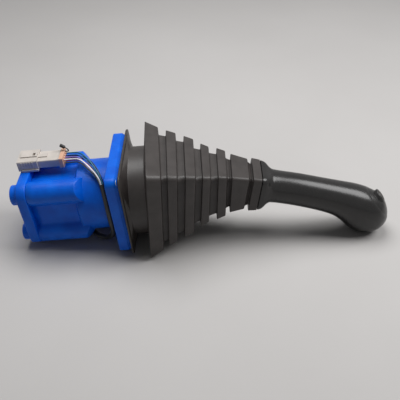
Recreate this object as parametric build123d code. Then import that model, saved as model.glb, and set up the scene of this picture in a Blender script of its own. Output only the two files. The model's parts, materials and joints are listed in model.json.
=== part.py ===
"""Hydraulic pilot joystick valve, lying on its side, built as an assembly.

The lever axis runs along +X. X = 0 is the face of the mounting flange that meets the panel,
with the valve body on its -X side and the boot and lever on its +X side.
"""
import os
from math import cos, pi, radians, sin, sqrt, tan

from build123d import *

os.makedirs("parts", exist_ok=True)

# ---------------------------------------------------------------- driving sizes (mm)
FIT = 0.05              # radial clearance of a piece located in a bore
RUN_FIT = 0.06          # radial clearance of a shaft that turns or slides
SEAT_GAP = 0.3          # clearance of soft or curved faces at rest
PRESS_GAP = 0.02        # clearance of a seal ring in its groove

# mounting flange
FLANGE_HALF = 49.0
FLANGE_THICK = 10.0
FLANGE_CORNER = 8.0
MOUNT_EDGE = 8.0
MOUNT_PITCH = 2 * (FLANGE_HALF - MOUNT_EDGE)
EDGE_CHAMFER = 0.8
MOUNT_HOLE_R = 3.5
GROMMET_AT = (30.8, -33.8)
GROMMET_R = 6.0
GROMMET_STEM_R = 4.0
GROMMET_THICK = 4.0
GROMMET_ROUND = 1.5

# push-rod pattern: one rod in each corner
ROD_PITCH_R = 32.0
ROD_R = 4.0
ROD_BORE_R = 5.0
ROD_TRAVEL = 7.2
ROD_HEAD_GAP = 0.6
BUSH_R = 8.0
BUSH_GROOVE = (4.0, 6.0)
BUSH_GROOVE_DEEP = 1.5
ROD_SEAL_R = 6.0
ROD_SEAL_LENGTH = 3.0
CORNERS = ((1, 1), (-1, 1), (-1, -1), (1, -1))

# valve body casting
NECK_R = 39.0
NECK_LENGTH = 33.0
BODY_LENGTH = 88.0
CORE_HALF = 31.0
CORE_CORNER = 6.0
COLUMN_R = 13.0
COLUMN_OFFSET = 25.5
SHOULDER_RUN = 10.0
CHAMBER_R = 8.2
CHAMBER_TOP = -38.0
SLEEVE_LENGTH = 22.0
SPOOL_R = 3.0
SPOOL_WAIST = 0.8
SPOOL_FOOT = 3.0
SPOOL_COLLAR_R, SPOOL_COLLAR_THICK = 4.6, 1.5
SPOOL_COLLAR_RISE = 6.0
SPOOL_PIN_R, SPOOL_PIN_LENGTH = 2.2, 2.0
SEAT_THICK = 3.0
SEAT_SPARE = 1.0
SEAT_NECK_R, SEAT_RIM = 5.5, 1.4
SEAT_CLEARANCE = 0.5
ROD_NECK = 1.2
ROD_FOOT_INSET = 0.5
ROD_CROWN = ((1.6, 0.0), (0.5, 1.0), (0.0, 2.6))   # back from the tip, in from the side
RETURN_WIRE_R, RETURN_TURNS = 0.8, 4
METERING_WIRE_R, METERING_TURNS = 0.45, 3
METERING_R = 3.6
SQUARE_WIRE = 1.7       # side of the square that stands for a round wire, in its radii
FEED_GROOVE = (8.0, 11.0)
FEED_GROOVE_DEEP = 1.2
STUD_SHANK_R = 6.0
STUD_SHANK_DEPTH = 22.0
SCREW_R = 3.0
SCREW_HEAD_R = 5.0
SCREW_HEAD_LENGTH = 6.0
SCREW_REACH = 16.0
SCREW_KEY_AF = 5.0
SCREW_KEY_DEEP = 3.0
DRILL_PAST = 2.0
FLANGE_SCREW_AT = 30.0
PLATE_SCREW_AT = 25.5

# port plate on the far end of the body
PLATE_HALF = 39.0
PLATE_THICK = 11.0
PLATE_CORNER = 14.0
PLATE_ROUND = 1.5
BOSS_ROUND = 1.2
PORT_R = 5.72
PORT_DEPTH = 12.0
SUPPLY_AT = 12.0
BOSS_R_TOP, BOSS_HEIGHT_TOP = 11.0, 7.0
BOSS_R_LOW, BOSS_HEIGHT_LOW = 9.5, 4.0
SEAL_GROOVE = 1.5
SEAL_WIDTH = 2.6
PORT_PASSAGE_R = 2.5
PORT_PASSAGE_LEAN = 0.93
PORT_FLOOR = 2.0

# universal joint and the plate that presses the rods
JOINT_HEIGHT = 18.0     # joint centre above the flange
EAR_IN, EAR_OUT = 7.0, 11.0
EAR_HALF_WIDTH = 6.0
PIN_R = 2.5
PIN_SHORT = 0.3
CROSS_GAP = 0.4
JOINT_PLATE_R = 13.0
JOINT_PLATE_THICK = 4.0
EAR_ROOT = 2.0
HUB_HEIGHT = 12.0
DISC_R = 38.5
HUB_THICK = 6.0
DISC_RIM = 5.5
DISC_TOP_R, DISC_WAIST_R, DISC_DISH_R = 23.0, 29.0, 32.0
DISC_WAIST_X = 7.0
DISC_UNDER_R, DISC_SEAT_R = 26.0, 18.5
THREAD_R = 7.0
THREAD_PAST_NUT = 8.0
NUT_THICK = 7.0
NUT_AF = 24.0

# lever
LEVER_R = 6.0
LEVER_BEND = 11.5
LEVER_BEND_X = 126.0
LEVER_BEND_R = 140.0
LEVER_END_X = 226.0
SOCKET_AF = 19.0
SOCKET_LENGTH = 28.0
SOCKET_THREAD = 9.0
LEVER_START = 12.0
LOCK_THICK = 5.0

# boot
RETAINER_THICK = 2.0
RETAINER_R = DISC_R + 2.5
BOOT_WALL = 2.2
LIP_HALF = FLANGE_HALF + 2.3
LIP_CORNER = 8.0
LIP_THICK = 5.0
LIP_BEVEL = (1.0, 2.0)
FRAME_HALF = LIP_HALF - 3.8
FRAME_CORNER = 6.0
FRAME_BORE_R = DISC_R + 3.5
MOUTH_DEPTH = 6.0
MOUTH_LAND = 1.5
COLLAR_R = 48.0
COLLAR_X = (20.0, 31.0)
COLLAR_INNER_X = (15.0, 34.0)
COLLAR_ROUNDNESS = 0.96
GROOVE_EDGE_IN, GROOVE_EDGE_OUT = 0.9, 0.6
PLEAT_CORNER, PLEAT_CORNER_SHARE = 3.5, 0.11
LEAN_LOW, LEAN_LOW_X, LEAN_HIGH_X = 5.5, (20.0, 80.0), (118.0, 142.0)
BOOT_TOP_WALL = 3.5
GROOVE_DEPTH_IN, GROOVE_DEPTH_OUT = 2.8, 4.3
BOOT_END_X = 157.4
# each pleat: start, half width there, end, half width there
PLEATS = (
    (34.8, 56.3, 49.2, 50.7), (57.0, 47.5, 67.0, 44.5), (75.6, 41.5, 86.0, 38.2),
    (94.0, 34.0, 103.0, 30.9), (111.9, 29.2, 121.5, 26.6), (126.8, 24.1, 143.8, 20.7),
    (148.4, 21.7, BOOT_END_X, 20.9),
)

# grip: station x, z, lean in degrees, half width, half depth, corner radius
GRIP_BASE = (158.0, -6.5, 11.5, 21.5, 21.5, 6.0)
GRIP_STATIONS = (
    GRIP_BASE, (163.0, -7.5, 12.0, 20.8, 20.8, 8.0), (169.0, -8.8, 13.0, 18.9, 18.9, 16.0),
    (176.0, -10.2, 14.5, 18.2, 18.2, 17.8), (200.0, -17.0, 18.0, 18.0, 18.2, 17.6),
    (224.0, -25.8, 21.5, 18.2, 18.4, 17.8), (240.0, -33.0, 26.0, 19.0, 19.2, 18.6),
    (252.0, -41.0, 33.0, 20.0, 21.5, 19.6), (263.0, -50.0, 39.0, 20.5, 24.5, 20.1),
    (273.0, -58.5, 41.0, 20.0, 24.5, 19.6), (281.0, -66.0, 41.0, 17.5, 19.5, 17.1),
    (286.5, -71.0, 41.0, 12.5, 13.5, 12.1), (289.0, -73.3, 41.0, 7.0, 7.5, 6.6),
)
THUMB_AT = (284.0, -45.5)
THUMB_LEAN = 34.0
THUMB_HALF_LENGTH, THUMB_HALF_WIDTH = 16.0, 9.5
THUMB_CAP_THICK = 3.0
BUTTON_R = 6.0
BUTTON_PROUD = 2.6
BUTTON_TRAVEL = 2.2
BUTTON_SKIRT = 1.2
BUTTON_BORE_R = BUTTON_R + 1.5
BUTTON_BORE_DEPTH = 20.0
BUTTON_ROUND = 1.0
THUMB_CAP_PROUD = 1.2
SWITCH_LENGTH = 12.0
SWITCH_TIP_R = 2.0

# connector and wiring
SOCKET_BOX = ((-100.0, -3.0, PLATE_HALF + SEAT_GAP), (-78.0, 21.0, PLATE_HALF + 12.8))
PLUG_BOX = ((-78.0, -1.0, PLATE_HALF + 1.6), (-50.0, 18.5, PLATE_HALF + 11.2))
SOCKET_ROUND, PLUG_ROUND = 1.5, 1.2
SOCKET_STEP = (4.0, 1.5, 3.0, 2.2)      # start, overhang, width and height of the side step
SOCKET_RIDGE_HALF, SOCKET_RIDGE_RISE = 4.0, 1.2
LATCH_WINDOW = (6.0, 3.0, 2.5)          # far and near end from the mouth, half width
SOCKET_RECESS = (5.0, 3.0, 2.5)         # depth, side wall, floor
PLUG_COLLAR = (5.0, 2.0)                # from the wire end
PLUG_COLLAR_GROW = 0.8
PLUG_LATCH = (10.0, 3.0, 1.0)           # length, half width, rise
WIRE_ROWS = (6.9, 2.9)
WIRE_FIRST, WIRE_PITCH = 4.2, 4.2
WIRE_STRAIGHT = 8.0
WIRE_R = 0.9
WIRE_RING_R = 2.3
WIRE_SLOTS = (1, 7, 4, 2, 0, 6, 5, 3)
SLEEVE_R = 3.6
SPARE_R = 0.7
SPARE_CAP_R, SPARE_CAP_LENGTH = 1.9, 6.5
SLEEVE_ROUTE = (
    (-8.5, -28.5, 34.0), (-6.5, -36.0, 26.0), (-4.8, -42.8, 11.0), (-4.8, -43.6, -7.0),
    (-5.2, -40.0, -23.0), (-9.0, -33.5, -36.0), (-18.0, -27.0, -45.0), (-30.0, -21.0, -44.2),
    (-36.5, -9.0, -43.2), (-33.0, 5.0, -43.6), (-25.5, 18.5, -42.4), (-16.5, 28.0, -37.0),
    (-10.5, 30.8, -33.8), (-GROMMET_THICK, 30.8, -33.8),
)
WIRE_MIDS = (
    ((-31.2, 8.8, 50.0), (-17.6, -10.4, 49.8)), ((-31.6, 5.2, 49.8), (-20.4, -9.0, 47.0)),
    ((-31.8, 1.4, 49.6), (-24.6, -9.0, 45.0)), ((-31.6, -2.6, 50.0), (-21.6, -14.2, 49.8)),
    ((-31.2, 9.0, 46.2), (-16.0, -7.6, 46.8)), ((-31.2, 5.4, 46.0), (-17.6, -6.0, 44.0)),
    ((-31.6, 1.6, 45.8), (-21.6, -6.8, 43.0)), ((-31.8, -2.6, 46.2), (-24.6, -12.8, 47.0)),
)
SPARE_ROUTE = (
    (-50.0, 17.2, 48.2), (-46.4, 17.2, 48.2), (-43.2, 17.8, 50.6), (-44.6, 18.6, 54.2),
    (-48.4, 19.4, 56.2), (-52.0, 20.2, 57.8),
)

# ---------------------------------------------------------------- derived places
FLANGE_TOP = FLANGE_THICK
RETAINER_TOP = FLANGE_TOP + RETAINER_THICK
JOINT_X = FLANGE_TOP + JOINT_HEIGHT
ROD_OFFSET = ROD_PITCH_R / sqrt(2)
BODY_END = -BODY_LENGTH
PORT_FACE = BODY_END - PLATE_THICK
HUB_X = JOINT_X + HUB_HEIGHT
DISC_SEAT = HUB_X + HUB_THICK
DISC_TOP = DISC_SEAT + DISC_RIM
ADJUST_TOP = DISC_TOP + NUT_THICK
SOCKET_TOP = ADJUST_TOP + SOCKET_LENGTH
LOCK_TOP = SOCKET_TOP + LOCK_THICK
SEAT_TOP = CHAMBER_TOP - ROD_TRAVEL - SEAT_SPARE
SHELF_X = BODY_END + SLEEVE_LENGTH
SPOOL_COLLAR_X = SHELF_X + SPOOL_COLLAR_RISE
SEAT_FOOT = SEAT_TOP - SEAT_THICK
PORT_SPOTS = (
    (1, 1, BOSS_R_TOP, BOSS_HEIGHT_TOP), (-1, 1, BOSS_R_TOP, BOSS_HEIGHT_TOP),
    (-1, -1, BOSS_R_LOW, BOSS_HEIGHT_LOW), (1, -1, BOSS_R_LOW, BOSS_HEIGHT_LOW),
)
ROD_TIP = JOINT_X - ROD_HEAD_GAP


# ---------------------------------------------------------------- helpers
def across(x, y=0.0, z=0.0, lean=0.0):
    """Plane across the lever axis: local x is +Y, local y is +Z, leaning towards +X at its top."""
    a = radians(lean)
    return Plane(origin=(x, y, z), x_dir=(0, 1, 0), z_dir=(cos(a), 0, -sin(a)))


def rod_along_x(x0, x1, r, y=0.0, z=0.0):
    return extrude(across(x0, y, z) * Circle(r), x1 - x0)


def tube_along_x(x0, x1, r_out, r_in, y=0.0, z=0.0):
    return rod_along_x(x0, x1, r_out, y, z) - rod_along_x(x0, x1, r_in, y, z)


def block_along_x(x0, x1, half, corner):
    return extrude(across(x0) * RectangleRounded(2 * half, 2 * half, corner), x1 - x0)


def hexagon_along_x(x0, x1, across_flats, bore_r):
    outer = extrude(across(x0) * RegularPolygon(across_flats / 2, 6, major_radius=False), x1 - x0)
    crown = revolve_x([(x0, 0), (x0, across_flats * 0.54), (x0 + 0.8, across_flats * 0.577),
                       (x1 - 0.8, across_flats * 0.577), (x1, across_flats * 0.54), (x1, 0)])
    return (outer & crown) - rod_along_x(x0, x1, bore_r)


def revolve_x(points):
    """Solid of revolution about the X axis from (x, radius) points."""
    face = make_face(Polyline(*[(x, 0, r) for x, r in points], close=True))
    return revolve(face, Axis.X, 360)


def box_between(low, high, corner=0.0):
    size = [b - a for a, b in zip(low, high)]
    mid = [(a + b) / 2 for a, b in zip(low, high)]
    body = Pos(*mid) * Box(*size)
    return fillet(body.edges().filter_by(Axis.X), corner) if corner else body


def at_corners(offset):
    return [(sy * offset, sz * offset) for sy, sz in CORNERS]


def on_axes(offset):
    return [(offset, 0.0), (0.0, offset), (-offset, 0.0), (0.0, -offset)]


def turned(shape, degrees_about_x):
    return Rot(X=degrees_about_x) * shape


def save(node, shape):
    solids = shape.solids() if hasattr(shape, "solids") else shape
    out = solids[0] if len(solids) == 1 else Compound(children=list(solids))
    out.label = node
    export_step(out, f"parts/{node}.step")


def together(pieces):
    return Compound(children=[s for p in pieces for s in p.solids()])


def tube_path(points, label, diameter):
    """Straight runs joined by tangent arcs, each as large as its two runs allow."""
    vectors = [Vector(*p) for p in points]
    runs = [b - a for a, b in zip(vectors, vectors[1:])]
    radii = []
    for before, after in zip(runs, runs[1:]):
        half_turn = radians(before.get_angle(after) / 2)
        radii.append(0.45 * min(before.length, after.length) / tan(half_turn))
    print(label, "radii / diameter:", [round(r / diameter, 1) for r in radii])
    return FilletPolyline(*points, radius=radii)


def cord(points, r, label):
    path = tube_path(points, label, 2 * r)
    start = Plane(origin=path @ 0, z_dir=path % 0)
    tube = sweep(start * Circle(r), path)
    print(label, "length", round(path.length, 1), "volume ratio",
          round(tube.volume / (pi * r * r * path.length), 4))
    return tube


# ---------------------------------------------------------------- valve body
def valve_body():
    neck = rod_along_x(-NECK_LENGTH - SHOULDER_RUN, 0, NECK_R)
    body = block_along_x(BODY_END, -NECK_LENGTH, CORE_HALF, CORE_CORNER)
    for y, z in at_corners(COLUMN_OFFSET):
        body += rod_along_x(BODY_END, -NECK_LENGTH, COLUMN_R, y, z)
    reach = COLUMN_OFFSET * sqrt(2) + COLUMN_R + 1
    shoulder = revolve_x([(BODY_END, 0), (BODY_END, reach), (-NECK_LENGTH - SHOULDER_RUN, reach),
                          (-NECK_LENGTH, NECK_R - 1), (-NECK_LENGTH, 0)])
    body = (body & shoulder) + neck
    for y, z in at_corners(ROD_OFFSET):
        body -= rod_along_x(CHAMBER_TOP, 0, ROD_BORE_R, y, z)
        body -= rod_along_x(BODY_END, CHAMBER_TOP, CHAMBER_R, y, z)
    body -= rod_along_x(-STUD_SHANK_DEPTH - DRILL_PAST, 0, STUD_SHANK_R + FIT)
    for y, z in on_axes(FLANGE_SCREW_AT):
        body -= rod_along_x(-SCREW_REACH - DRILL_PAST, 0, SCREW_R + FIT, y, z)
    for y, z in on_axes(PLATE_SCREW_AT):
        body -= rod_along_x(BODY_END, BODY_END + SCREW_REACH + DRILL_PAST, SCREW_R + FIT, y, z)
    return body


def spool_sleeve(y, z):
    sleeve = tube_along_x(BODY_END, SHELF_X, CHAMBER_R - FIT, SPOOL_R + RUN_FIT, y, z)
    low, high = (BODY_END + x for x in FEED_GROOVE)
    return sleeve - tube_along_x(low, high, CHAMBER_R, CHAMBER_R - FEED_GROOVE_DEEP, y, z)


def port_bosses():
    """Place, radius and height of the four service-port bosses."""
    return [(sy * COLUMN_OFFSET, sz * COLUMN_OFFSET, r, height) for sy, sz, r, height in PORT_SPOTS]


def port_plate():
    plate = fillet(block_along_x(PORT_FACE, BODY_END, PLATE_HALF, PLATE_CORNER)
                   .faces().sort_by(Axis.X)[0].edges(), PLATE_ROUND)
    for y, z, r, height in port_bosses():
        boss = rod_along_x(PORT_FACE - height, PORT_FACE + PLATE_ROUND, r, y, z)
        plate += fillet(boss.faces().sort_by(Axis.X)[0].edges(), BOSS_ROUND)
    for y, z, r, height in port_bosses():
        mouth = PORT_FACE - height
        plate -= rod_along_x(mouth, mouth + PORT_DEPTH, PORT_R, y, z)
        plate -= rod_along_x(mouth, BODY_END, PORT_PASSAGE_R,
                             y * PORT_PASSAGE_LEAN, z * PORT_PASSAGE_LEAN)
    for z in (SUPPLY_AT, -SUPPLY_AT):
        plate -= rod_along_x(PORT_FACE, BODY_END - PORT_FLOOR, PORT_R, 0, z)
    for y, z in on_axes(PLATE_SCREW_AT):
        plate -= rod_along_x(PORT_FACE, BODY_END, SCREW_R + FIT, y, z)
        plate -= rod_along_x(PORT_FACE, PORT_FACE + SCREW_HEAD_LENGTH, SCREW_HEAD_R + 4 * FIT, y, z)
    for y, z in at_corners(ROD_OFFSET):
        plate -= tube_along_x(BODY_END - SEAL_GROOVE, BODY_END, CHAMBER_R, CHAMBER_R - SEAL_WIDTH, y, z)
    return plate


def port_seal(y, z):
    ring = across(BODY_END - SEAL_GROOVE / 2, y, z)
    return ring * Torus(CHAMBER_R - SEAL_WIDTH / 2, SEAL_GROOVE / 2 - PRESS_GAP)


def socket_screw(x_head, direction, y, z):
    """Cap screw with its head's outer face at x_head, pointing along direction."""
    seat = x_head + direction * SCREW_HEAD_LENGTH
    tip = seat + direction * (SCREW_REACH + FLANGE_TOP - SCREW_HEAD_LENGTH)
    low, high = sorted((x_head, seat))
    head = rod_along_x(low, high, SCREW_HEAD_R, y, z)
    low, high = sorted((seat, tip))
    shank = rod_along_x(low, high, SCREW_R, y, z)
    low, high = sorted((x_head, x_head + direction * SCREW_KEY_DEEP))
    key = extrude(across(low, y, z) * RegularPolygon(SCREW_KEY_AF / 2, 6, major_radius=False), high - low)
    return head + shank - key


# ---------------------------------------------------------------- flange and rod guides
def mounting_flange():
    flange = block_along_x(0, FLANGE_TOP, FLANGE_HALF, FLANGE_CORNER)
    rims = flange.faces().filter_by(Axis.X).edges()
    flange = chamfer(rims, EDGE_CHAMFER)
    flange -= rod_along_x(0, FLANGE_TOP, STUD_SHANK_R + FIT)
    for y, z in at_corners(ROD_OFFSET):
        flange -= rod_along_x(0, FLANGE_TOP, BUSH_R + FIT, y, z)
    for y, z in at_corners(MOUNT_PITCH / 2):
        flange -= rod_along_x(0, FLANGE_TOP, MOUNT_HOLE_R, y, z)
    for y, z in on_axes(FLANGE_SCREW_AT):
        flange -= rod_along_x(0, FLANGE_TOP, SCREW_R + FIT, y, z)
        flange -= rod_along_x(FLANGE_TOP - SCREW_HEAD_LENGTH, FLANGE_TOP,
                              SCREW_HEAD_R + 4 * FIT, y, z)
    flange -= rod_along_x(0, FLANGE_TOP, GROMMET_STEM_R + FIT, *GROMMET_AT)
    return flange


def retainer_plate():
    plate = rod_along_x(FLANGE_TOP, RETAINER_TOP, RETAINER_R)
    plate -= rod_along_x(FLANGE_TOP, RETAINER_TOP, STUD_SHANK_R + FIT)
    for y, z in at_corners(ROD_OFFSET):
        plate -= rod_along_x(FLANGE_TOP, RETAINER_TOP, ROD_BORE_R, y, z)
    return plate


def guide_bush(y, z):
    bush = tube_along_x(0, FLANGE_TOP, BUSH_R, ROD_R + RUN_FIT, y, z)
    bush -= tube_along_x(*BUSH_GROOVE, BUSH_R, BUSH_R - BUSH_GROOVE_DEEP, y, z)
    return bush - rod_along_x(FLANGE_TOP - ROD_SEAL_LENGTH, FLANGE_TOP, ROD_SEAL_R, y, z)


def bush_ring(y, z):
    section_r = BUSH_GROOVE_DEEP / 2
    return across(sum(BUSH_GROOVE) / 2, y, z) * Torus(BUSH_R - section_r, section_r - PRESS_GAP)


def rod_seal(y, z):
    x0, x1 = FLANGE_TOP - ROD_SEAL_LENGTH, FLANGE_TOP - 2 * FIT
    body = tube_along_x(x0, x1, ROD_SEAL_R - FIT, ROD_R + RUN_FIT, y, z)
    wall = (ROD_SEAL_R - ROD_R) / 3
    return body - tube_along_x(x1 - 2 * wall, x1, ROD_SEAL_R - wall, ROD_R + wall, y, z)


def cable_grommet():
    y, z = GROMMET_AT
    flange_side = rod_along_x(-GROMMET_THICK, 0, GROMMET_R, y, z)
    flange_side = fillet(flange_side.faces().sort_by(Axis.X)[0].edges(), GROMMET_ROUND)
    return flange_side + rod_along_x(0, FLANGE_TOP, GROMMET_STEM_R, y, z)


# ---------------------------------------------------------------- universal joint
def ear_pair(base_x, plate):
    """Two ears about the joint centre, joined to plate; they hold a pin along local Y."""
    ears = None
    for side in (1, -1):
        y0 = EAR_IN if side > 0 else -EAR_OUT
        face = make_face(Polyline((base_x, y0, -EAR_HALF_WIDTH), (base_x, y0, EAR_HALF_WIDTH),
                                  (JOINT_X, y0, EAR_HALF_WIDTH), (JOINT_X, y0, -EAR_HALF_WIDTH),
                                  close=True))
        ear = extrude(face, EAR_OUT - EAR_IN, dir=(0, 1, 0))
        cheek = Plane(origin=(JOINT_X, y0, 0), x_dir=(1, 0, 0), z_dir=(0, 1, 0))
        ear += extrude(cheek * Circle(EAR_HALF_WIDTH), EAR_OUT - EAR_IN)
        ears = ear if ears is None else ears + ear
    hole = Plane(origin=(JOINT_X, -EAR_OUT - 1, 0), x_dir=(1, 0, 0), z_dir=(0, 1, 0))
    return plate + ears - extrude(hole * Circle(PIN_R + RUN_FIT), 2 * EAR_OUT + 2)


def joint_stud():
    base = rod_along_x(RETAINER_TOP, RETAINER_TOP + JOINT_PLATE_THICK, JOINT_PLATE_R)
    base += rod_along_x(-STUD_SHANK_DEPTH, RETAINER_TOP, STUD_SHANK_R)
    return turned(ear_pair(RETAINER_TOP + EAR_ROOT, base), 45)


def joint_cross():
    side = 2 * (EAR_IN - CROSS_GAP)
    block = Pos(JOINT_X, 0, 0) * Box(side - EAR_ROOT, side, side)
    pin = Plane(origin=(JOINT_X, -EAR_OUT + PIN_SHORT, 0), x_dir=(1, 0, 0), z_dir=(0, 1, 0))
    arm = extrude(pin * Circle(PIN_R), 2 * (EAR_OUT - PIN_SHORT))
    return turned(block + arm + turned(arm, 90), 45)


def joint_yoke():
    hub = rod_along_x(HUB_X, DISC_SEAT, JOINT_PLATE_R)
    hub += rod_along_x(DISC_SEAT, ADJUST_TOP + THREAD_PAST_NUT, THREAD_R)
    return turned(ear_pair(HUB_X + EAR_ROOT, hub), 135)


def swash_disc():
    x0, x1, rim = DISC_SEAT, DISC_TOP, JOINT_X
    return revolve_x([(x0, THREAD_R + FIT), (x1, THREAD_R + FIT), (x1, DISC_TOP_R),
                      (rim + DISC_WAIST_X, DISC_WAIST_R), (rim + DISC_RIM, DISC_DISH_R),
                      (rim + DISC_RIM, DISC_R), (rim, DISC_R), (rim, DISC_UNDER_R),
                      (x0, DISC_SEAT_R)])


# ---------------------------------------------------------------- lever
def lever_slope():
    return tan(radians(LEVER_BEND))


def lever_sweep(r, past_end=0.0):
    """The bent rod's centre line swept at radius r, optionally run on past its end."""
    start_x, end_x = ADJUST_TOP + LEVER_START, LEVER_END_X + past_end
    end = (end_x, 0, -(end_x - LEVER_BEND_X) * lever_slope())
    path = FilletPolyline((start_x, 0, 0), (LEVER_BEND_X, 0, 0), end, radius=LEVER_BEND_R)
    return sweep(Plane(origin=path @ 0, z_dir=path % 0) * Circle(r), path)


def lever_rod():
    return lever_sweep(LEVER_R)


def lever_socket():
    socket = hexagon_along_x(ADJUST_TOP, SOCKET_TOP, SOCKET_AF, LEVER_R + FIT)
    return socket - rod_along_x(ADJUST_TOP, ADJUST_TOP + SOCKET_THREAD, THREAD_R + FIT)


# ---------------------------------------------------------------- boot
def ramp(x, x0, x1):
    return min(1.0, max(0.0, (x - x0) / (x1 - x0)))


def boot_lean(x):
    """The pleats lean a little more the nearer they are to the grip."""
    return LEAN_LOW * ramp(x, *LEAN_LOW_X) + (LEVER_BEND - LEAN_LOW) * ramp(x, *LEAN_HIGH_X)


def boot_drop(x):
    """How far the lever's bend carries the centre of the boot off the X axis."""
    tangent = LEVER_BEND_R * tan(radians(LEVER_BEND / 2))
    start, end = LEVER_BEND_X - tangent, LEVER_BEND_X + tangent
    if x <= start:
        return 0.0
    if x >= end:
        return (x - LEVER_BEND_X) * lever_slope()
    return LEVER_BEND_R - sqrt(LEVER_BEND_R ** 2 - (x - start) ** 2)


def boot_ring(x, half, corner):
    place = across(x, 0, -boot_drop(x), boot_lean(x))
    return place * RectangleRounded(2 * half, 2 * half, corner)


def pleat_corner(half):
    return max(PLEAT_CORNER, PLEAT_CORNER_SHARE * half)


def boot_rings(wall):
    """Rings of the boot from the collar up: outer skin with wall 0, inner skin with its wall."""
    collar = COLLAR_R - wall
    ends = COLLAR_INNER_X if wall else COLLAR_X
    rings = [(x, collar, COLLAR_ROUNDNESS * collar) for x in ends]
    for number, (x0, half0, x1, half1) in enumerate(PLEATS):
        if number:
            before = PLEATS[number - 1][2]
            for x, half in ((before + GROOVE_EDGE_IN - wall, half0 - GROOVE_DEPTH_IN),
                            (x0 - GROOVE_EDGE_OUT + wall, half0 - GROOVE_DEPTH_OUT)):
                rings.append((x, half - wall, pleat_corner(half) + 1))
        if wall and number == len(PLEATS) - 1:
            for x in (x0 + wall, x1 - BOOT_TOP_WALL):
                rings.append((x, half0 - GROOVE_DEPTH_OUT - wall, PLEAT_CORNER))
        else:
            rings.append((x0 + wall, half0 - wall, pleat_corner(half0)))
            rings.append((x1 - wall, half1 - wall, pleat_corner(half1)))
    return rings


def boot_skin(rings):
    return loft([boot_ring(*ring) for ring in rings], ruled=True)


def boot():
    inset, rise = LIP_BEVEL
    lip = [(FLANGE_TOP, LIP_HALF - inset, LIP_CORNER), (FLANGE_TOP + rise, LIP_HALF, LIP_CORNER),
           (FLANGE_TOP + LIP_THICK, LIP_HALF, LIP_CORNER)]
    outer = boot_skin(lip + boot_rings(0))
    inner = boot_skin(boot_rings(BOOT_WALL))
    pocket = block_along_x(FLANGE_TOP, RETAINER_TOP + SEAT_GAP, FRAME_HALF + SEAT_GAP,
                           FRAME_CORNER + SEAT_GAP)
    mouth = rod_along_x(RETAINER_TOP, FLANGE_TOP + MOUTH_DEPTH, COLLAR_R - BOOT_WALL - MOUTH_LAND)
    bore = lever_sweep(LEVER_R + SEAT_GAP)
    return outer - inner - pocket - mouth - bore


def boot_frame():
    frame = block_along_x(FLANGE_TOP, RETAINER_TOP, FRAME_HALF, FRAME_CORNER)
    frame -= rod_along_x(FLANGE_TOP, RETAINER_TOP, FRAME_BORE_R)
    for y, z in at_corners(MOUNT_PITCH / 2):
        frame -= rod_along_x(FLANGE_TOP, RETAINER_TOP, MOUNT_HOLE_R, y, z)
    return frame


# ---------------------------------------------------------------- grip
def grip_section(x, z, lean, half_width, half_depth, corner):
    return across(x, 0, z, lean) * RectangleRounded(2 * half_width, 2 * half_depth, corner)


def thumb_plane(offset=0.0):
    """Plane of the thumb face; its local x runs up the face and its local z points outwards."""
    a = radians(THUMB_LEAN)
    normal = Vector(cos(a), 0, sin(a))
    origin = Vector(THUMB_AT[0], 0, THUMB_AT[1]) + normal * offset
    return Plane(origin=origin, x_dir=(-sin(a), 0, cos(a)), z_dir=normal)


def thumb_oval(grow, offset, height):
    oval = SlotOverall(2 * (THUMB_HALF_LENGTH + grow), 2 * (THUMB_HALF_WIDTH + grow))
    return extrude(thumb_plane(offset) * oval, height)


def thumb_round(r, offset, height):
    return extrude(thumb_plane(offset) * Circle(r), height)


def grip():
    body = loft([grip_section(*GRIP_STATIONS[0]), grip_section(*GRIP_STATIONS[1])], ruled=True)
    body += loft([grip_section(*s) for s in GRIP_STATIONS[1:]])
    body -= thumb_oval(2 * THUMB_HALF_LENGTH, 0, 2 * THUMB_HALF_LENGTH)
    body -= thumb_oval(FIT, -THUMB_CAP_THICK, THUMB_CAP_THICK + THUMB_CAP_PROUD)
    body -= thumb_round(BUTTON_BORE_R, -THUMB_CAP_THICK - BUTTON_BORE_DEPTH, BUTTON_BORE_DEPTH)
    return body - lever_sweep(LEVER_R + FIT, SEAT_GAP)


def grip_cap():
    cap = thumb_oval(0, -THUMB_CAP_THICK, THUMB_CAP_THICK + THUMB_CAP_PROUD)
    outer_rim = cap.faces().sort_by(Axis((0, 0, 0), thumb_plane().z_dir))[-1].edges()
    cap = chamfer(outer_rim, EDGE_CHAMFER)
    return cap - thumb_round(BUTTON_R + 3 * FIT, -THUMB_CAP_THICK, THUMB_CAP_THICK + THUMB_CAP_PROUD)


def push_button():
    foot = -THUMB_CAP_THICK - BUTTON_SKIRT
    button = thumb_round(BUTTON_R, foot, THUMB_CAP_PROUD + BUTTON_PROUD - foot)
    outer_rim = button.faces().sort_by(Axis((0, 0, 0), thumb_plane().z_dir))[-1].edges()
    button = fillet(outer_rim, BUTTON_ROUND)
    return button + thumb_round(BUTTON_R + BUTTON_ROUND, foot, BUTTON_SKIRT - 2 * FIT)


def push_switch():
    """Switch body under the button, held at the foot of the bore."""
    foot = -THUMB_CAP_THICK - BUTTON_BORE_DEPTH
    tip_length = BUTTON_BORE_DEPTH - SWITCH_LENGTH - BUTTON_SKIRT - BUTTON_TRAVEL - 2 * FIT
    switch = thumb_round(BUTTON_BORE_R - 2 * FIT, foot, SWITCH_LENGTH)
    return switch + thumb_round(SWITCH_TIP_R, foot + SWITCH_LENGTH, tip_length)


# ---------------------------------------------------------------- push rods, springs and spools
def push_rod(y, z):
    foot, neck_r = SEAT_FOOT + ROD_FOOT_INSET, ROD_R - ROD_NECK
    crown = [(ROD_TIP - back, ROD_R - inset) for back, inset in ROD_CROWN]
    rod = revolve_x([(foot, 0), (foot, neck_r), (SEAT_TOP, neck_r), (SEAT_TOP, ROD_R), *crown,
                     (ROD_TIP, 0)])
    return Pos(0, y, z) * rod


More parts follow.
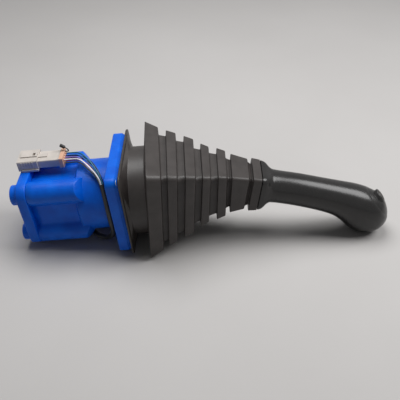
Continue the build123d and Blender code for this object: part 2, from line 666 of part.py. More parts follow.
def spring_seat(y, z):
    bore_r, rim_r = ROD_R - ROD_NECK + FIT, CHAMBER_R - SEAT_CLEARANCE
    seat = revolve_x([(SEAT_FOOT, bore_r), (SEAT_TOP, bore_r), (SEAT_TOP, SEAT_NECK_R),
                      (SEAT_TOP - SEAT_RIM, rim_r), (SEAT_FOOT, rim_r)])
    return Pos(0, y, z) * seat


def coil(x0, x1, mean_r, wire_r, turns, y, z):
    length = x1 - x0 - 2 * (wire_r + FIT)
    path = Helix(length / turns, length, mean_r, center=(x0 + wire_r + FIT, y, z),
                 direction=(1, 0, 0))
    side = wire_r * SQUARE_WIRE
    return sweep(Plane(origin=path @ 0, z_dir=path % 0) * Rectangle(side, side), path)


def return_spring(y, z):
    mean_r = CHAMBER_R - SEAT_CLEARANCE - RETURN_WIRE_R - 2 * FIT
    return coil(SHELF_X, SEAT_FOOT, mean_r, RETURN_WIRE_R, RETURN_TURNS, y, z)


def metering_spring(y, z):
    return coil(SPOOL_COLLAR_X, SEAT_FOOT, METERING_R, METERING_WIRE_R, METERING_TURNS, y, z)


def spool(y, z):
    foot, top = BODY_END + SPOOL_FOOT, SPOOL_COLLAR_X
    waist_low, waist_high = (BODY_END + x for x in FEED_GROOVE)
    waist_r, collar_foot, pin_tip = SPOOL_R - SPOOL_WAIST, top - SPOOL_COLLAR_THICK, top + SPOOL_PIN_LENGTH
    shape = revolve_x([(foot, 0), (foot, SPOOL_R), (waist_low, SPOOL_R),
                       (waist_low + SPOOL_WAIST, waist_r), (waist_high - SPOOL_WAIST, waist_r),
                       (waist_high, SPOOL_R), (collar_foot, SPOOL_R),
                       (collar_foot, SPOOL_COLLAR_R), (top, SPOOL_COLLAR_R), (top, SPOOL_PIN_R),
                       (pin_tip, SPOOL_PIN_R), (pin_tip, 0)])
    return Pos(0, y, z) * shape


# ---------------------------------------------------------------- connector and wiring
def connector_socket():
    low, high = SOCKET_BOX
    mid_y = (low[1] + high[1]) / 2
    shell = box_between(low, high, SOCKET_ROUND)
    start, overhang, width, height = SOCKET_STEP
    shell += box_between((low[0] + start, low[1] - overhang, low[2]),
                         (high[0], low[1] + width, low[2] + height))
    half, rise = SOCKET_RIDGE_HALF, SOCKET_RIDGE_RISE
    shell += box_between((low[0] + LATCH_WINDOW[1], mid_y - half, high[2] - rise),
                         (high[0] - EDGE_CHAMFER, mid_y + half, high[2] + rise))
    far, near, half = LATCH_WINDOW
    shell -= box_between((high[0] - far, mid_y - half, high[2] - SOCKET_ROUND),
                         (high[0] - near, mid_y + half, high[2] + rise))
    depth, wall, floor = SOCKET_RECESS
    return shell - box_between((low[0], low[1] + wall, low[2] + floor),
                               (low[0] + depth, high[1] - wall, high[2] - wall))


def connector_plug():
    low, high = PLUG_BOX
    mid_y = (low[1] + high[1]) / 2
    back, front = (high[0] - x for x in PLUG_COLLAR)
    grow = PLUG_COLLAR_GROW
    collar = box_between((back, low[1] - grow, low[2] - grow), (front, high[1] + grow, high[2] + grow))
    length, half, rise = PLUG_LATCH
    latch = box_between((low[0], mid_y - half, high[2] - rise),
                        (low[0] + length, mid_y + half, high[2] + rise))
    return box_between(low, high, PLUG_ROUND) + collar + latch


def wire_exits():
    low, high = PLUG_BOX
    columns = [high[1] - WIRE_FIRST - WIRE_PITCH * i for i in range(4)]
    return [(high[0], y, low[2] + rise) for rise in WIRE_ROWS for y in columns]


def sleeve_mouth():
    start, after = Vector(*SLEEVE_ROUTE[0]), Vector(*SLEEVE_ROUTE[1])
    return Plane(origin=start, x_dir=(1, 0, 0), z_dir=(after - start).normalized())


def wire_ends():
    """One wire in the middle of the sleeve's mouth and seven around it."""
    mouth = sleeve_mouth()
    ring = WIRE_RING_R
    spots = [(ring * cos(2 * pi * i / 7), ring * sin(2 * pi * i / 7)) for i in range(7)]
    return [mouth.from_local_coords(Vector(a, b, 0)) for a, b in spots + [(0.0, 0.0)]]


def wire_route(number):
    exit_point = Vector(*wire_exits()[number])
    end = wire_ends()[WIRE_SLOTS[number]]
    lead_in = end - sleeve_mouth().z_dir * WIRE_STRAIGHT
    mids = [Vector(*p) for p in WIRE_MIDS[number]]
    lead_out = exit_point + Vector(WIRE_STRAIGHT, 0, 0)
    return [tuple(p) for p in (exit_point, lead_out, *mids, lead_in, end)]


def spare_cap():
    end, before = Vector(*SPARE_ROUTE[-1]), Vector(*SPARE_ROUTE[-2])
    along = (end - before).normalized()
    body = extrude(Plane(origin=end, z_dir=along) * Circle(SPARE_CAP_R), SPARE_CAP_LENGTH)
    return fillet(body.faces().sort_by(Axis((0, 0, 0), along))[-1].edges(), BOSS_ROUND)


# ---------------------------------------------------------------- the assembly
single_pieces = {
    "valve_body": valve_body, "port_plate": port_plate, "mounting_flange": mounting_flange,
    "retainer_plate": retainer_plate, "cable_grommet": cable_grommet, "boot": boot,
    "boot_frame": boot_frame, "joint_stud": joint_stud, "joint_cross": joint_cross,
    "joint_yoke": joint_yoke, "swash_disc": swash_disc, "lever_socket": lever_socket,
    "lever_rod": lever_rod, "grip": grip, "grip_cap": grip_cap, "push_button": push_button,
    "push_switch": push_switch, "connector_socket": connector_socket,
    "connector_plug": connector_plug, "spare_cap": spare_cap,
}
for node, make in single_pieces.items():
    save(node, make())

save("adjusting_nut", hexagon_along_x(DISC_TOP, ADJUST_TOP, NUT_AF, THREAD_R + FIT))
save("lock_nut", hexagon_along_x(SOCKET_TOP, LOCK_TOP, SOCKET_AF, LEVER_R + FIT))

rod_places = at_corners(ROD_OFFSET)
corner_groups = {
    "spool_sleeves": spool_sleeve, "port_seals": port_seal, "guide_bushes": guide_bush,
    "bush_rings": bush_ring, "rod_seals": rod_seal,
}
for node, make in corner_groups.items():
    save(node, together([make(y, z) for y, z in rod_places]))

corner_pieces = {
    "push_rod": push_rod, "spring_seat": spring_seat, "return_spring": return_spring,
    "metering_spring": metering_spring, "spool": spool,
}
for name, make in corner_pieces.items():
    for number, (y, z) in enumerate(rod_places, start=1):
        save(f"{name}_{number}", make(y, z))

save("flange_screws", together([socket_screw(FLANGE_TOP, -1, y, z)
                                for y, z in on_axes(FLANGE_SCREW_AT)]))
save("port_plate_screws", together([socket_screw(PORT_FACE, 1, y, z)
                                    for y, z in on_axes(PLATE_SCREW_AT)]))

save("wire_sleeve", cord(SLEEVE_ROUTE, SLEEVE_R, "wire_sleeve"))
save("spare_lead", cord(SPARE_ROUTE, SPARE_R, "spare_lead"))
for number in range(8):
    save(f"wire_{number + 1}", cord(wire_route(number), WIRE_R, f"wire_{number + 1}"))
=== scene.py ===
# %% [markdown]
# # A hydraulic pilot joystick valve, dressed around its CAD frame
# The real object is a hand lever that presses four small spool valves in a cast body.
# Its parts are a painted casting, a square flange, a rubber boot, a moulded grip and a
# short wire harness with a connector. The CAD frame gives every place and every moving
# body, and the cells below give the parts their final skins and finishes.

# %% Load the frame
import json
from math import atan2, cos, exp, log1p, pi, radians, sin, sqrt, tan

import bmesh
import bpy
from mathutils import Matrix, Vector

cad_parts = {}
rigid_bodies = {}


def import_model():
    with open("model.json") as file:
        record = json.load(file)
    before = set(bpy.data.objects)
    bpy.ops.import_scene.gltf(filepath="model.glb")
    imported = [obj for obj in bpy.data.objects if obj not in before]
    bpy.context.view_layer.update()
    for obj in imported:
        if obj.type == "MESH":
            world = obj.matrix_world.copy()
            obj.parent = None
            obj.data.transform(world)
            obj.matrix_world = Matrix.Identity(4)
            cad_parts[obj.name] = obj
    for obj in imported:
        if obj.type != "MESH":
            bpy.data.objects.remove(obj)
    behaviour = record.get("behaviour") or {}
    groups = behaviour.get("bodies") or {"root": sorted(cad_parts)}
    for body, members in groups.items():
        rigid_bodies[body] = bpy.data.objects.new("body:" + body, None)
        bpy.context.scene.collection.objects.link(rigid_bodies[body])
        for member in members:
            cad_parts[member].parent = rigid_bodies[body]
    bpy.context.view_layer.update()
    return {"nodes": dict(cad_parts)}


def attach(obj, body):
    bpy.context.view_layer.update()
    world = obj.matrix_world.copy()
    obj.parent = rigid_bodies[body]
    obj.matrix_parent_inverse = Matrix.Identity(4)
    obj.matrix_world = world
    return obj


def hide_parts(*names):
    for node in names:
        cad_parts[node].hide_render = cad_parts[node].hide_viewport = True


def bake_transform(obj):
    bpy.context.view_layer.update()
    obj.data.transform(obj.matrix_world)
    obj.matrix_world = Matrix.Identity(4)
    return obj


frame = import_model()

# %% [markdown]
# ## Units and the way the object lies
# All sizes below are in millimetres, as on a drawing, and `mm` turns them into metres.
# The lever axis is X. On the table the valve rests on its flange and on the head of the
# grip, so the whole object is pitched a little. The object stays where the CAD has it,
# and the table and the camera are turned instead.

# %% Units and the resting pose
MM = 0.001
PITCH, YAW = radians(5.66), radians(0.21)
PIVOT = Vector((93.388, 0, 0))
resting = Matrix.Rotation(YAW, 3, "Z") @ Matrix.Rotation(-PITCH, 3, "Y")
TABLE_UP = resting.transposed() @ Vector((0, 0, 1))


def mm(x, y, z):
    return Vector((x, y, z)) * MM


def from_table(v):
    """A point in table millimetres, measured from the pivot, as a place in the frame."""
    return (resting.transposed() @ Vector(v) + PIVOT) * MM


print("table normal in the frame:", [round(c, 4) for c in TABLE_UP])

# %% [markdown]
# ## The camera
# A long lens flattens the perspective, as in catalogue pictures. The camera looks down
# at 39 degrees, square to the lever axis.

# %% Camera
CAMERA_HEIGHT = radians(38.72)
CAMERA_DISTANCE = 667.231
CAMERA_DROP, CAMERA_ASIDE = 16.868, 0.003
LENS, SENSOR = 54, 36
right = Vector((1, 0, 0))
up = Vector((0, sin(CAMERA_HEIGHT), cos(CAMERA_HEIGHT)))
back = right.cross(up)
camera = bpy.data.objects.new("camera", bpy.data.cameras.new("camera"))
bpy.context.scene.collection.objects.link(camera)
camera.data.lens, camera.data.sensor_width = LENS, SENSOR
camera.data.clip_start, camera.data.clip_end = 0.01, 20
turn = resting.transposed() @ Matrix((right, up, back)).transposed()
eye = from_table(back * CAMERA_DISTANCE - up * CAMERA_DROP - right * CAMERA_ASIDE)
camera.matrix_world = Matrix.Translation(eye) @ turn.to_4x4()
bpy.context.scene.camera = camera
print("camera at", [round(c, 3) for c in eye])

# %% [markdown]
# ## Helpers for meshes
# Most pieces are skins: closed outlines, one after another, joined by quads. `skin`
# builds one from its rings. Edges sharper than 35 degrees stay crisp, the rest shade
# smoothly. `rounded_line` eases the corners of a profile, and `rounded_rectangle` gives
# an outline whose number of points is the same for any size, so that rings can be joined.

# %% Mesh helpers
def link(name, mesh):
    piece = bpy.data.objects.new(name, mesh)
    bpy.context.scene.collection.objects.link(piece)
    return piece


def crisp(mesh, degrees=35):
    """Smooth shading everywhere but across edges sharper than the angle."""
    work = bmesh.new()
    work.from_mesh(mesh)
    bmesh.ops.recalc_face_normals(work, faces=work.faces)
    for face in work.faces:
        face.smooth = True
    for edge in work.edges:
        edge.smooth = len(edge.link_faces) == 2 and edge.calc_face_angle() < radians(degrees)
    work.to_mesh(mesh)
    work.free()


def skin(name, rings, hoop=False, degrees=35):
    """A closed mesh over rings of points in millimetres; a hoop joins its last ring to its first."""
    count = len(rings[0])
    points = [Vector(p) * MM for ring in rings for p in ring]
    pairs = list(zip(range(len(rings)), range(1, len(rings))))
    if hoop:
        pairs.append((len(rings) - 1, 0))
    faces = [(a * count + i, a * count + (i + 1) % count, b * count + (i + 1) % count, b * count + i)
             for a, b in pairs for i in range(count)]
    if not hoop:
        faces.append(tuple(range(count))[::-1])
        faces.append(tuple((len(rings) - 1) * count + i for i in range(count)))
    mesh = bpy.data.meshes.new(name)
    mesh.from_pydata([tuple(p) for p in points], [], faces)
    crisp(mesh, degrees)
    return link(name, mesh)


def rounded_line(points, radius, steps=4):
    """The same open line with each inner corner replaced by a short curve."""
    points = [Vector(p) for p in points]
    line = [points[0]]
    for before, corner, after in zip(points, points[1:], points[2:]):
        reach_in = min(radius, 0.45 * (corner - before).length)
        reach_out = min(radius, 0.45 * (after - corner).length)
        start = corner + (before - corner).normalized() * reach_in
        end = corner + (after - corner).normalized() * reach_out
        for i in range(steps + 1):
            t = i / steps
            line.append(start * (1 - t) ** 2 + corner * 2 * t * (1 - t) + end * t * t)
    return line + [points[-1]]


def rounded_rectangle(half_y, half_z, corner, per_corner=10, per_side=8):
    """(y, z) points of a rectangle with round corners, the same number for any size."""
    points = []
    for quarter, (sy, sz) in enumerate(((1, 1), (-1, 1), (-1, -1), (1, -1))):
        for i in range(per_corner + 1):
            angle = pi / 2 * (quarter + i / per_corner)
            points.append(Vector((sy * (half_y - corner) + corner * cos(angle),
                                  sz * (half_z - corner) + corner * sin(angle))))
    around = []
    for i, point in enumerate(points):
        around.append(point)
        if i % (per_corner + 1) == per_corner:
            after = points[(i + 1) % len(points)]
            around += [point.lerp(after, k / per_side) for k in range(1, per_side)]
    return around


print("helpers ready")

# %% [markdown]
# ## Wires and the sleeve
# Eight thin wires leave the plug, bend down over the body and gather in a black sleeve.
# The sleeve runs round the neck behind the flange and enters it through a grommet. Each
# cord is a smooth NURBS line through its route, with a round bevel.

# %% Routes, in millimetres
WIRE_R, SLEEVE_R, SPARE_R = 0.78, 2.9, 0.6
SLEEVE_ROUTE = (
    (-7.2, -29.2, 32.6), (-5.0, -36.2, 24.0), (-3.6, -42.4, 10.0), (-3.6, -43.0, -7.0),
    (-4.0, -39.4, -23.0), (-8.0, -33.2, -35.4), (-17.0, -26.6, -44.0), (-29.5, -20.6, -43.4),
    (-36.0, -9.0, -42.6), (-33.0, 5.0, -42.8), (-25.5, 18.5, -41.8), (-16.5, 28.0, -36.8),
    (-10.5, 30.8, -33.8), (-4.0, 30.8, -33.8),
)
WIRE_MIDS = (
    ((-31.2, 8.8, 50.0), (-17.6, -10.4, 49.8)), ((-31.6, 5.2, 49.8), (-20.4, -9.0, 47.0)),
    ((-31.8, 1.4, 49.6), (-24.6, -9.0, 45.0)), ((-31.6, -2.6, 50.0), (-21.6, -14.2, 49.8)),
    ((-31.2, 9.0, 46.2), (-16.0, -7.6, 46.8)), ((-31.2, 5.4, 46.0), (-17.6, -6.0, 44.0)),
    ((-31.6, 1.6, 45.8), (-21.6, -6.8, 43.0)), ((-31.8, -2.6, 46.2), (-24.6, -12.8, 47.0)),
)
SPARE_ROUTE = (
    (-50.0, 16.4, 48.4), (-47.6, 16.4, 48.4), (-46.0, 15.8, 49.6), (-46.8, 15.4, 52.0),
    (-48.6, 15.2, 53.8), (-49.6, 15.2, 54.6),
)
PLUG_END = -50.0
PLUG_ROWS, PLUG_COLUMNS = (47.5, 43.5), (14.3, 10.1, 5.9, 1.7)
MOUTH_SLOTS = (1, 7, 4, 2, 0, 6, 5, 3)
MOUTH_RING, RING_WIRES = 1.9, 7
STRAIGHT = 8.0                      # straight run of a wire at each of its ends
wire_exits = [Vector((PLUG_END, y, z)) for z in PLUG_ROWS for y in PLUG_COLUMNS]

# %% The sleeve's mouth takes one wire in its middle and seven around it
mouth = Vector(SLEEVE_ROUTE[0])
mouth_in = (Vector(SLEEVE_ROUTE[1]) - mouth).normalized()
mouth_u = (Vector((1, 0, 0)) - mouth_in * mouth_in.x).normalized()
mouth_v = mouth_in.cross(mouth_u)
mouth_turns = [2 * pi * i / RING_WIRES for i in range(RING_WIRES)]
mouth_spots = [mouth + (mouth_u * cos(a) + mouth_v * sin(a)) * MOUTH_RING for a in mouth_turns]
mouth_spots.append(mouth.copy())
wire_routes = []
for number, (first, second) in enumerate(WIRE_MIDS):
    start, end = wire_exits[number], mouth_spots[MOUTH_SLOTS[number]]
    wire_routes.append((start, start + Vector((STRAIGHT, 0, 0)), Vector(first), Vector(second),
                        end - mouth_in * STRAIGHT, end))


# %% A cord from its route
def cord_line(name, route, radius):
    """An open NURBS curve of order 3 through a route in millimetres."""
    curve = bpy.data.curves.new(name, "CURVE")
    curve.dimensions = "3D"
    curve.bevel_depth = 1.0        # times each point's own radius
    curve.bevel_resolution = 5
    curve.use_fill_caps = True
    spline = curve.splines.new("NURBS")
    spline.points.add(len(route) - 1)
    for point, place in zip(spline.points, route):
        point.co = (*(Vector(place) * MM), 1)
        point.radius = radius * MM
    spline.use_endpoint_u = True
    spline.order_u = 3
    spline.resolution_u = 12
    return link(name, curve)


def line_length(piece):
    """Length in metres of the curve's own line."""
    depth, piece.data.bevel_depth = piece.data.bevel_depth, 0
    mesh = bpy.data.meshes.new_from_object(piece.evaluated_get(bpy.context.evaluated_depsgraph_get()))
    piece.data.bevel_depth = depth
    places = [v.co for v in mesh.vertices]
    return sum((b - a).length for a, b in zip(places, places[1:]))


sleeve = cord_line("harness_sleeve", SLEEVE_ROUTE, SLEEVE_R)
wires = [cord_line(f"harness_wire_{n}", route, WIRE_R) for n, route in enumerate(wire_routes, 1)]
spare = cord_line("spare_wire", SPARE_ROUTE, SPARE_R)
bpy.context.view_layer.update()
print("sleeve", round(line_length(sleeve) * 1000, 1), "mm; wires",
      [round(line_length(w) * 1000, 1) for w in wires])

# %% The cords ride on the base and stand for their CAD solids
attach(sleeve, "base")
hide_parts("wire_sleeve")
for number, wire in enumerate(wires, 1):
    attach(wire, "base")
    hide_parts(f"wire_{number}")
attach(spare, "base")
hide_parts("spare_lead")

# %% [markdown]
# ## The rubber boot
# The boot is one moulded bellows with square pleats. It has a thin square lip on the
# flange, a round collar and seven bands that shrink towards the grip. A line drawn along
# the wall, in distance along the axis and half width, gives the whole form. Every point
# of that line becomes a rounded square, leaned and skewed as the real pleats are by two
# small tables, and the skin between them is the boot. It is made in two parts, which
# meet at one station in a groove.

# %% Boot line and rings
BOOT_WALL = 2.2
COLLAR_R = 48.0
LEVER_BEND, LEVER_BEND_X, LEVER_BEND_R = 11.5, 126.0, 140.0
GROOVE_IN, GROOVE_OUT = 2.8, 4.3
PLEATS = (
    (34.8, 56.3, 49.2, 50.7), (57.0, 47.5, 67.0, 44.5), (75.6, 41.5, 86.0, 38.2),
    (94.0, 34.0, 103.0, 30.9), (111.9, 29.2, 121.5, 26.6), (126.8, 24.1, 143.8, 20.7),
    (148.4, 21.7, 157.4, 20.9),
)
BOOT_START, BOOT_JOIN, BOOT_STOP = 13.0, 89.5, 158.0
LIP_FOOT, LIP_TOP, LIP_HALF = 13.5, 15.8, 52.0
COLLAR_FROM, COLLAR_TO = 20.0, 33.4


def ramp(x, start, end):
    return min(1.0, max(0.0, (x - start) / (end - start)))


LEAN = ((10, 0.0), (17, 0.8), (31, 4.0), (35, 6.0), (60, 6.2), (80, 7.5), (98, 7.4), (116, 6.1),
        (121, 5.6), (142, LEVER_BEND))
SKEW = ((18, 0.0), (35, 4.6), (49, 4.6), (60, 2.8), (80, 2.5), (98, 1.9), (116, 0.6), (126, 0.0))


def read_table(table, x):
    """Value of a (x, value) table at x, straight between its rows."""
    if x <= table[0][0]:
        return table[0][1]
    for (x0, v0), (x1, v1) in zip(table, table[1:]):
        if x <= x1:
            return v0 + (v1 - v0) * (x - x0) / (x1 - x0)
    return table[-1][1]


def boot_drop(x):
    """How far the lever's bend carries the middle of the boot off its axis."""
    tangent = LEVER_BEND_R * tan(radians(LEVER_BEND / 2))
    start, end = LEVER_BEND_X - tangent, LEVER_BEND_X + tangent
    if x <= start:
        return 0.0
    if x >= end:
        return (x - LEVER_BEND_X) * tan(radians(LEVER_BEND))
    return LEVER_BEND_R - sqrt(LEVER_BEND_R ** 2 - (x - start) ** 2)


def placed_ring(x, z, lean, outline):
    """(y, z) points laid in a plane across the axis, leaning towards +X at its top."""
    a = radians(lean)
    return [Vector((x + q * sin(a), p, z + q * cos(a))) for p, q in outline]


def boot_ring(x, half, corner):
    """One rounded square of the boot, its top leaned and its near side moved towards the grip."""
    outline = rounded_rectangle(half, half, min(corner, half - 0.2))
    lean, skew = tan(radians(read_table(LEAN, x))), tan(radians(read_table(SKEW, x)))
    return [Vector((x - skew * p + lean * q, p, q - boot_drop(x))) for p, q in outline]


def boot_line(wall):
    """(x, half width, corner) along the outer face with wall 0, or the inner face."""
    line = []
    for number, (x0, half0, x1, half1) in enumerate(PLEATS):
        corner = max(3.5, 0.11 * half0)
        if number:
            before = PLEATS[number - 1][2]
            line += [(before + 0.5 - wall, half0 - GROOVE_IN - wall, corner + 2),
                     (x0 - 0.4 + wall, half0 - GROOVE_OUT - wall, corner + 2)]
        if wall and number == len(PLEATS) - 1:
            line += [(x0 + wall, half0 - GROOVE_OUT - wall, 3.5), (x1, half0 - GROOVE_OUT - wall, 3.5)]
        else:
            line += [(x0 + wall, half0 - wall, corner), (x1 - wall, half1 - wall, corner)]
    return line


lip = [(LIP_FOOT, 45.5, 8.0), (LIP_FOOT + 0.3, LIP_HALF - 0.6, 8.0), (LIP_TOP, LIP_HALF, 8.0),
       (LIP_TOP + 0.8, LIP_HALF - 2.8, 20.0), (COLLAR_FROM, COLLAR_R, 46.0), (COLLAR_TO, COLLAR_R, 46.0)]
outer_line = rounded_line(lip + boot_line(0), 0.9)
inner_lip = [(LIP_FOOT, 44.4, 43.0), (LIP_TOP + 0.2, 44.4, 43.0), (LIP_TOP + 1.2, COLLAR_R - BOOT_WALL, 44.0),
             (COLLAR_TO + 0.6, COLLAR_R - BOOT_WALL, 44.0)]
inner_line = rounded_line(inner_lip + boot_line(BOOT_WALL), 0.6, 2)

# %% Cut the lines at the join and skin the two parts
def cut_line(line, low, high):
    """The part of a line between two stations, with a point added at each cut."""
    kept = []
    for a, b in zip(line, line[1:]):
        for stop in (low, high):
            if min(a.x, b.x) < stop < max(a.x, b.x):
                kept.append(a.lerp(b, (stop - a.x) / (b.x - a.x)))
        if low <= b.x <= high:
            kept.append(b)
    if low <= line[0].x <= high:
        kept.insert(0, line[0])
    return sorted(kept, key=lambda p: line_place(line, p))


def line_place(line, point):
    """How far along the line a point is, in points."""
    best = min(range(len(line) - 1), key=lambda i: segment_gap(line[i], line[i + 1], point))
    run = line[best + 1] - line[best]
    return best + (point - line[best]).dot(run) / max(run.length_squared, 1e-9)


def segment_gap(a, b, point):
    run = b - a
    t = min(1.0, max(0.0, (point - a).dot(run) / max(run.length_squared, 1e-9)))
    return (a + run * t - point).length


def boot_piece(name, low, high):
    outside = cut_line(outer_line, low, high)
    inside = cut_line(inner_line, low, high)
    rings = [boot_ring(*p) for p in outside] + [boot_ring(*p) for p in reversed(inside)]
    return skin(name, rings, hoop=True, degrees=50)


boot_lower = boot_piece("boot_lower", BOOT_START, BOOT_JOIN)
boot_upper = boot_piece("boot_upper", BOOT_JOIN, BOOT_STOP)
print("boot rings:", len(outer_line), "outside,", len(inner_line), "inside")

# %% [markdown]
# ## The grip
# The grip is one plastic moulding, a bent tapering bar with a square foot and a fuller
# head. Its sections are rounded rectangles at thirteen stations, and a smooth curve
# through the stations gives all the sections between them. The thumb face is a flat cut:
# points beyond the face are drawn back onto it with a soft limit, which leaves the edge
# of the cut rounded as a mould leaves it.

# %% Grip sections
GRIP_STATIONS = (
    (158.0, -6.5, 11.5, 21.5, 21.5, 6.0), (163.0, -7.5, 12.0, 20.8, 20.8, 8.0),
    (169.0, -8.8, 13.0, 18.9, 18.9, 16.0), (176.0, -10.2, 14.5, 18.2, 18.2, 17.8),
    (200.0, -17.0, 18.0, 18.0, 18.2, 17.6), (226.0, -26.0, 21.0, 18.4, 18.6, 18.0),
    (245.0, -33.5, 24.5, 19.6, 19.8, 19.2), (259.0, -41.0, 31.0, 21.2, 22.6, 20.8),
    (271.0, -50.0, 38.0, 22.4, 25.5, 22.0), (281.0, -58.5, 41.0, 21.8, 25.5, 21.4),
    (289.0, -66.0, 42.0, 19.0, 20.5, 18.6), (294.5, -71.4, 42.0, 13.6, 14.4, 13.2),
    (297.0, -73.8, 42.0, 7.6, 8.0, 7.2),
)
SECTION_SPACING = 1.2
THUMB_AT = Vector((291.5, 0.0, -42.5))
THUMB_LEAN = radians(34.0)
THUMB_OUT = Vector((cos(THUMB_LEAN), 0, sin(THUMB_LEAN)))
THUMB_UP = Vector((-sin(THUMB_LEAN), 0, cos(THUMB_LEAN)))

# %% Smooth sections between the stations
def between(stations, index, t):
    """Catmull-Rom value between two stations."""
    a, b, c, d = (stations[min(max(index + k, 0), len(stations) - 1)] for k in (-1, 0, 1, 2))
    return [0.5 * (2 * q + (r - p) * t + (2 * p - 5 * q + 4 * r - s) * t * t
                   + (3 * q - p - 3 * r + s) * t ** 3) for p, q, r, s in zip(a, b, c, d)]


def smooth_stations(stations, spacing):
    out = []
    for index in range(len(stations) - 1):
        run = sqrt((stations[index + 1][0] - stations[index][0]) ** 2
                   + (stations[index + 1][1] - stations[index][1]) ** 2)
        steps = max(2, round(run / spacing))
        out += [between(stations, index, k / steps) for k in range(steps)]
    return out + [list(stations[-1])]

# %% The rounded end and the soft cut
def full_head(rings):
    """The rings with a rounded end added, before the thumb face is cut."""
    last = rings[-1]
    middle = sum(last, Vector()) / len(last)
    tip = Vector((0.75, 0, -0.65))
    return rings + [[middle.lerp(p, share) + tip * rise for p in last]
                    for share, rise in ((0.75, 0.5), (0.5, 0.85), (0.25, 1.0))]


def held_back(point, soft=0.7):
    """Draws a point beyond the thumb face back onto it, with a soft limit near the face."""
    height = (point - THUMB_AT).dot(THUMB_OUT)
    if height < -4 * soft:
        return point
    low = height if height < 8 * soft else 8 * soft
    limited = -soft * log1p_exp(-low / soft)
    return point + THUMB_OUT * (limited - height)


def log1p_exp(v):
    return v + log1p(exp(-v)) if v > 0 else log1p(exp(v))


# %% Skin of the grip
grip_rings = []
foot = GRIP_STATIONS[0]
for inset, rise in ((1.4, 0.0), (0.6, 0.15), (0.15, 0.6)):
    grip_rings.append(placed_ring(foot[0] + rise, foot[1], foot[2],
                                  rounded_rectangle(foot[3] - inset, foot[4] - inset, foot[5], 14, 10)))
for x, z, lean, half_y, half_z, corner in smooth_stations(GRIP_STATIONS, SECTION_SPACING)[1:]:
    outline = rounded_rectangle(half_y, half_z, min(corner, half_y - 0.1, half_z - 0.1), 14, 10)
    grip_rings.append(placed_ring(x, z, lean, outline))
grip_rings = full_head(grip_rings)
grip = skin("grip_moulding", [[held_back(p) for p in ring] for ring in grip_rings], degrees=40)
print("grip rings:", len(grip_rings))

# %% [markdown]
# The thumb side of the head is a separate soft pad that carries the button. Its outside
# is the rest of the full head shape, so it is cut from the same skin, drawn in a little
# to leave a seam, and given a flat back. The button is turned on a line along its axis.

# %% Thumb pad
def pad_from(rings, seam=0.965, back=1.0):
    """The head beyond the thumb face, with a flat back, drawn in by the seam's share."""
    pad = skin("thumb_pad", rings)
    work = bmesh.new()
    work.from_mesh(pad.data)
    bmesh.ops.bisect_plane(work, geom=work.verts[:] + work.edges[:] + work.faces[:],
                           plane_co=(THUMB_AT - THUMB_OUT * back) * MM, plane_no=THUMB_OUT,
                           clear_inner=True)
    bmesh.ops.holes_fill(work, edges=[e for e in work.edges if e.is_boundary])
    centre = sum((v.co for v in work.verts), Vector()) / len(work.verts)
    for v in work.verts:
        height = (v.co - centre).dot(THUMB_OUT)
        flat = v.co - centre - THUMB_OUT * height
        v.co = centre + flat * seam + THUMB_OUT * height
    work.to_mesh(pad.data)
    work.free()
    crisp(pad.data)
    return pad


thumb_pad = pad_from(grip_rings)
pad_top = max((v.co / MM - THUMB_AT).dot(THUMB_OUT) for v in thumb_pad.data.vertices)
print("pad stands", round(pad_top, 1), "mm over the cut")

# %% Button and its collar
BUTTON_RISE = 4.0                   # from the middle of the thumb face towards its top
BUTTON_R, BUTTON_FOOT = 6.0, -2.0
COLLAR_IN, COLLAR_OUT, COLLAR_FOOT = 6.3, 8.4, -1.0


def turned_on(name, origin, axis, side, outline, turns=48, hoop=False):
    """A solid turned round an axis from (height, radius) points; a hoop has a bore."""
    other = axis.cross(side)
    around = [side * cos(2 * pi * i / turns) + other * sin(2 * pi * i / turns) for i in range(turns)]
    rings = [[origin + axis * height + out * r for out in around] for height, r in outline]
    return skin(name, rings, hoop=hoop)


BUTTON_AT = THUMB_AT + THUMB_UP * BUTTON_RISE
SIDEWAYS = Vector((0, 1, 0))
button_line = rounded_line([(BUTTON_FOOT, BUTTON_R - 0.4, 0), (BUTTON_FOOT, BUTTON_R, 0),
                            (pad_top + 0.9, BUTTON_R, 0), (pad_top + 1.5, 0.4, 0)], 1.2)
button = turned_on("thumb_button", BUTTON_AT, THUMB_OUT, SIDEWAYS, [(p.x, p.y) for p in button_line])
collar_line = rounded_line([(COLLAR_FOOT, COLLAR_IN, 0), (COLLAR_FOOT, COLLAR_OUT, 0),
                            (pad_top - 0.2, COLLAR_OUT, 0), (pad_top + 0.4, COLLAR_OUT - 0.8, 0),
                            (pad_top + 0.4, COLLAR_IN, 0)], 0.5)
button_collar = turned_on("button_collar", BUTTON_AT, THUMB_OUT, SIDEWAYS,
                          [(p.x, p.y) for p in collar_line], hoop=True)
print("button faces:", len(button.data.polygons), "collar faces:", len(button_collar.data.polygons))

# %% [markdown]
# ## The cast body
# The body is iron, cast in one piece with a square core, four columns over the spools and
# a round neck under the flange. A casting has no sharp inner corners, so its outline is
# drawn from arcs: a column arc, a fillet and a short flat, four times round. Along the
# axis the flats step out to the neck through a soft shoulder, and the column ends slope.

# %% Body outline and skin
CORE_HALF, COLUMN_R, COLUMN_AT, FILLET_R = 31.0, 13.0, 25.5, 4.0
NECK_R, NECK_START, BODY_END, SHOULDER = 39.0, -37.0, -88.0, 9.0


